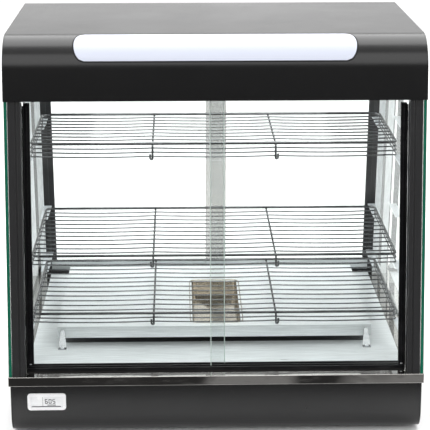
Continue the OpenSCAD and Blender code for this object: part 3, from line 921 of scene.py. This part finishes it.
def make_glides():
    """Small bright guides under the foot of each front stile."""
    for side in ("left", "right"):
        low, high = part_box(f"front_stile_{side}")
        y = low.y
        bm = box_mesh((low.x + 3 * MM, y - 0.4 * MM, low.z + 0.5 * MM),
            (high.x - 3 * MM, y + 1.2 * MM, low.z + 2 * MM), 0.3 * MM)
        mesh_piece(f"door_glide_{side}", bm, f"front_door_{side}", SHEET_STEEL)


make_stile_beads()
make_seals()
make_slot_backs()
make_door_edges()
make_painted_shade_sheet()
make_glides()


# ---------------------------------------------------------------- finishes of the frame's own nodes

NODE_FINISH = {
    COAT: "base_front base_rear base_side_left base_side_right hood_end_left hood_end_right",
    POST_COAT: "front_post_left front_post_right rear_post_left rear_post_right",
    TRIM: "deck_frame",
    WELL: "floor_pan baffle_plate",
    PILASTER_STEEL: "front_pilaster_left front_pilaster_right rear_pilaster_left rear_pilaster_right",
    SHEET_STEEL: "base_bottom element_clips hood_ceiling clips_top clips_middle clips_lower",
    FOOT_STEEL: "baffle_feet",
    SIDE_PANE: "side_glass_left side_glass_right",
    DOOR_PANE: "front_glass_left front_glass_right",
    REAR_PANE: "rear_glass_left rear_glass_right",
    BLACK_PLASTIC: "front_top_track rear_top_track front_bottom_track rear_bottom_track "
        "front_stile_left front_stile_right switch_bezels",
    REAR_STILE: "rear_stile_left rear_stile_right",
    TUBE_GLASS: "lamp_tube",
    WHITE_PLASTIC: "lamp_holders",
    SHEATH: "heating_elements",
    RED_ROCKER: "power_switch light_switch",
    AMBER_LENS: "pilot_lamp",
    BUFF_PLASTIC: "thermostat",
    FOOT_RUBBER: "rubber_feet",
}
# Radius, in millimetres, of the rounded edges of a node's sheet or moulding
NODE_EDGE = {
    "deck_frame": 0.9, "base_front": 0.6, "base_rear": 0.5, "base_side_left": 0.7,
    "base_side_right": 0.7, "hood_end_left": 0.8, "hood_end_right": 0.8, "front_post_left": 0.8,
    "front_post_right": 0.8, "rear_post_left": 0.8, "rear_post_right": 0.8, "baffle_plate": 0.5,
    "front_stile_left": 0.6, "front_stile_right": 0.6, "rear_stile_left": 0.6,
    "rear_stile_right": 0.6, "front_bottom_track": 0.4, "rear_bottom_track": 0.4,
    "power_switch": 0.8, "light_switch": 0.8, "switch_bezels": 0.7, "lamp_holders": 1.0,
    "floor_pan": 0.4, "clips_top": 0.4, "clips_middle": 0.4, "clips_lower": 0.4,
}


def finish_nodes():
    """Gives the frame's own nodes their finishes and softens their edges."""
    for material, names in NODE_FINISH.items():
        for name in names.split():
            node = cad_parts[name]
            node.data.materials.clear()
            node.data.materials.append(material)
    for name, radius in NODE_EDGE.items():
        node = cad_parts[name]
        weld = node.modifiers.new("weld", "WELD")
        weld.merge_threshold = 1e-5
        edge = node.modifiers.new("edge", "BEVEL")
        edge.width = radius * MM
        edge.segments = 2
        edge.limit_method = "ANGLE"
        edge.angle_limit = math.radians(40)
        edge.harden_normals = True


finish_nodes()


# ---------------------------------------------------------------- studio

def make_floor():
    """Pale table top, whose front edge is a little way before the case."""
    half = 20
    before_case = 0.16
    bm = bmesh.new()
    bmesh.ops.create_grid(bm, x_segments=1, y_segments=1, size=half,
        matrix=Matrix.Translation((0, half - HALF_D - before_case, 0)))
    mesh = bpy.data.meshes.new("floor")
    bm.to_mesh(mesh)
    bm.free()
    floor = bpy.data.objects.new("floor", mesh)
    f = Finish("floor")
    pale = f.blend(f.noise(0.7, 2), rgb(0.93, 0.93, 0.93), rgb(0.95, 0.95, 0.95))
    floor.data.materials.append(f.done(f.principled(Base_Color=pale, Roughness=0.9)))
    bpy.context.scene.collection.objects.link(floor)


def area_light(name, size, power, at, towards):
    data = bpy.data.lights.new(name, "AREA")
    data.shape = "RECTANGLE"
    data.size, data.size_y = size
    data.energy = power
    lamp = bpy.data.objects.new(name, data)
    lamp.location = at
    lamp.rotation_euler = (Vector(towards) - Vector(at)).to_track_quat("-Z", "Y").to_euler()
    bpy.context.scene.collection.objects.link(lamp)


def make_sky():
    """White all round; steel mirrors a dim customer's side with a few lit things in it."""
    world = bpy.data.worlds.new("studio")
    bpy.context.scene.world = world
    f = Finish("studio", world)
    where = f.node("ShaderNodeTexCoord", out="Generated")
    rearward = f.node("ShaderNodeSeparateXYZ", {}, {0: where}, out="Y")
    room = f.spread(rearward, -0.7, -0.1, 0.05, 1.35)
    things = f.node("ShaderNodeTexNoise", {}, {"Vector": where, "Scale": 14.0, "Detail": 1.0})
    lit = f.spread(things, 0.50, 0.58, 0.0, 0.34)
    seen = f.node("ShaderNodeLightPath", out="Is Camera Ray")
    backdrop = f.node("ShaderNodeMix", {}, {0: seen, 2: room + lit, 3: 1.1})
    glow = f.node("ShaderNodeBackground", {}, {"Strength": backdrop})
    f.done(glow, "ShaderNodeOutputWorld")


make_floor()
make_sky()
area_light("overhead", (3.2, 3.2), 108, (0, 1.2, 3.0), (0, 0.5, 0))
area_light("case_lamp", (0.42, 0.3), 1.6, (0, -0.02, 0.53), (0, -0.02, 0))
area_light("front_fill", (5.0, 3.0), 92, (0, -3.8, 3.4), (0, 0, 0.3))
area_light("left_box", (1.4, 2.4), 27, (-2.6, -3.6, 1.3), (0, 0, 0.3))
area_light("right_box", (1.4, 2.4), 27, (2.6, -3.6, 1.3), (0, 0, 0.3))
# Plain colour management, so that the white panel and the black coat keep their tones
bpy.context.scene.view_settings.view_transform = "Standard"
